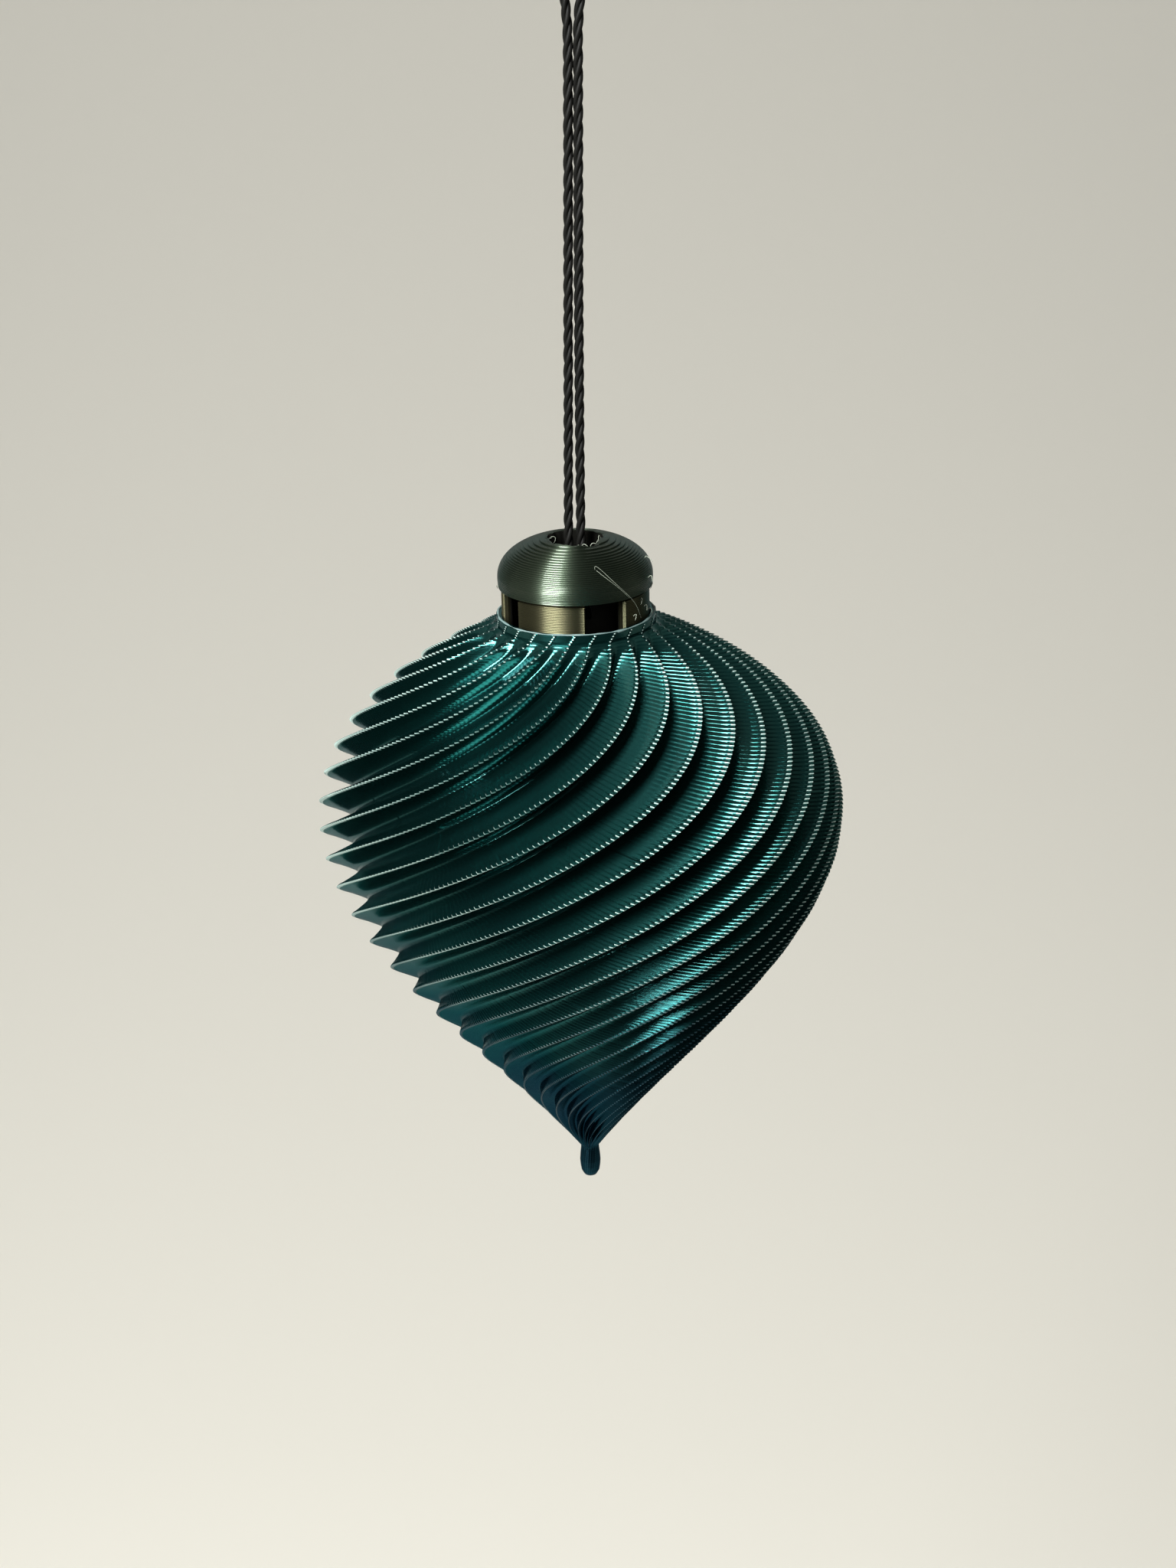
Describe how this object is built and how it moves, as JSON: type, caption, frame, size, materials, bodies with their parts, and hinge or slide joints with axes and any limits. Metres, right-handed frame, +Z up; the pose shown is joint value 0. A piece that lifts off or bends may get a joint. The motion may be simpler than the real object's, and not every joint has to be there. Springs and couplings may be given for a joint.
{
  "type": "hanging bob",
  "caption": "Hollow spiral-ribbed onion-shaped hanging bob with a pointed tip, a push-in domed cap and a doubled twisted cord.",
  "frame": {"origin": "inside top of the cord's hanging loop, where a hook holds it", "axes": "+Z up along the taut cord, from the tip towards the loop; the loop lies in the XZ plane"},
  "size_m": [0.0632, 0.0632, 0.159],
  "materials": {
    "shell_silk": "silk, layered print",
    "cap_silk": "silk, layered print",
    "cord_black": "twisted thread"
  },
  "bodies": {
    "cord": {"hanging_cord": "cord_black", "stopper_knot": "cord_black", "cord_tails": "cord_black"},
    "cap": {"domed_cap": "cap_silk"},
    "shell": {"ribbed_shell": "shell_silk"}
  },
  "joints": [
    {"name": "cap_swivel", "type": "hinge", "parent": "cord", "child": "cap", "pos_m": [0, 0, -0.0746], "axis": [0, 0, 1], "continuous": true},
    {"name": "shell_pull_off", "type": "slide", "parent": "cap", "child": "shell", "axis": [0, 0, -1], "range_m": [0, 0.025]}
  ]
}
